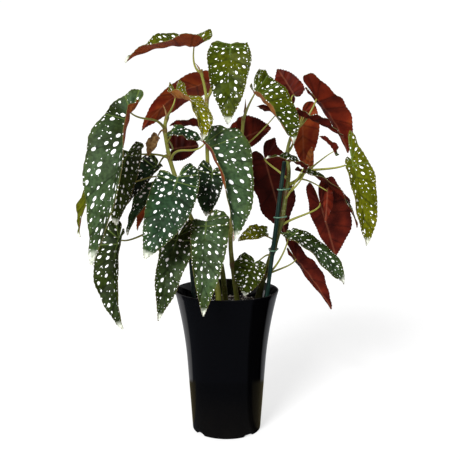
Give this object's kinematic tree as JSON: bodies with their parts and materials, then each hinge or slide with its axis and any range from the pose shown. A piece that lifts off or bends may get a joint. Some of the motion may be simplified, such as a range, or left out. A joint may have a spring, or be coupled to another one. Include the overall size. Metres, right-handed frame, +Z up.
{
  "type": "potted begonia",
  "caption": "Spotted-leaf cane begonia with drooping angel-wing leaves, green above and red below, staked in a tall flared black pot of soil.",
  "frame": {"origin": "centre of the pot's foot, on the surface it stands on", "axes": "+Z up; -Y towards the side that the picture shows; +X to the right in the picture"},
  "size_m": [0.3609, 0.201, 0.4987],
  "materials": {
    "pot": "moulded, satin to gloss black",
    "soil": "loose dark potting mix",
    "leaf_mature": "satin leaf, white spots above, red below",
    "leaf_young": "satin young leaf, white spots above, pinkish brown below",
    "leaf_dry": "dry and papery",
    "cane": "smooth green stem",
    "stake": "coated green stake",
    "tie": "coated tie wire"
  },
  "bodies": {
    "root": {"cane_back": "cane", "cane_branch": "cane", "cane_centre": "cane", "cane_left": "cane", "cane_right": "cane", "leaf_back_big": "leaf_mature", "leaf_back_centre": "leaf_mature", "leaf_back_dark": "leaf_mature", "leaf_back_small": "leaf_mature", "leaf_bud": "leaf_young", "leaf_centre_left": "leaf_mature", "leaf_centre_thin": "leaf_mature", "leaf_dark_arc": "leaf_mature", "leaf_dark_arch": "leaf_mature", "leaf_dry": "leaf_dry", "leaf_far_left": "leaf_young", "leaf_front_big": "leaf_mature", "leaf_front_centre": "leaf_mature", "leaf_green_strip": "leaf_mature", "leaf_inner_dark": "leaf_mature", "leaf_inner_left_a": "leaf_mature", "leaf_inner_left_b": "leaf_mature", "leaf_inner_left_c": "leaf_mature", "leaf_left_big": "leaf_mature", "leaf_left_low": "leaf_mature", "leaf_left_mid": "leaf_mature", "leaf_low_arch": "leaf_mature", "leaf_low_red": "leaf_mature", "leaf_low_small": "leaf_mature", "leaf_low_young": "leaf_young", "leaf_mid_maroon": "leaf_mature", "leaf_mid_red": "leaf_mature", "leaf_mid_small": "leaf_mature", "leaf_pot_left": "leaf_mature", "leaf_right_big": "leaf_young", "leaf_right_red": "leaf_mature", "leaf_right_thin": "leaf_mature", "leaf_right_young": "leaf_young", "leaf_small_dark": "leaf_mature", "leaf_small_hang": "leaf_mature", "leaf_top_centre": "leaf_young", "leaf_top_left": "leaf_young", "leaf_top_red": "leaf_mature", "leaf_young_drape": "leaf_young", "pot": "pot", "soil": "soil", "stake_left": "stake", "stake_right": "stake", "tie_lower": "tie", "tie_middle": "tie", "tie_upper": "tie"}
  },
  "joints": []
}
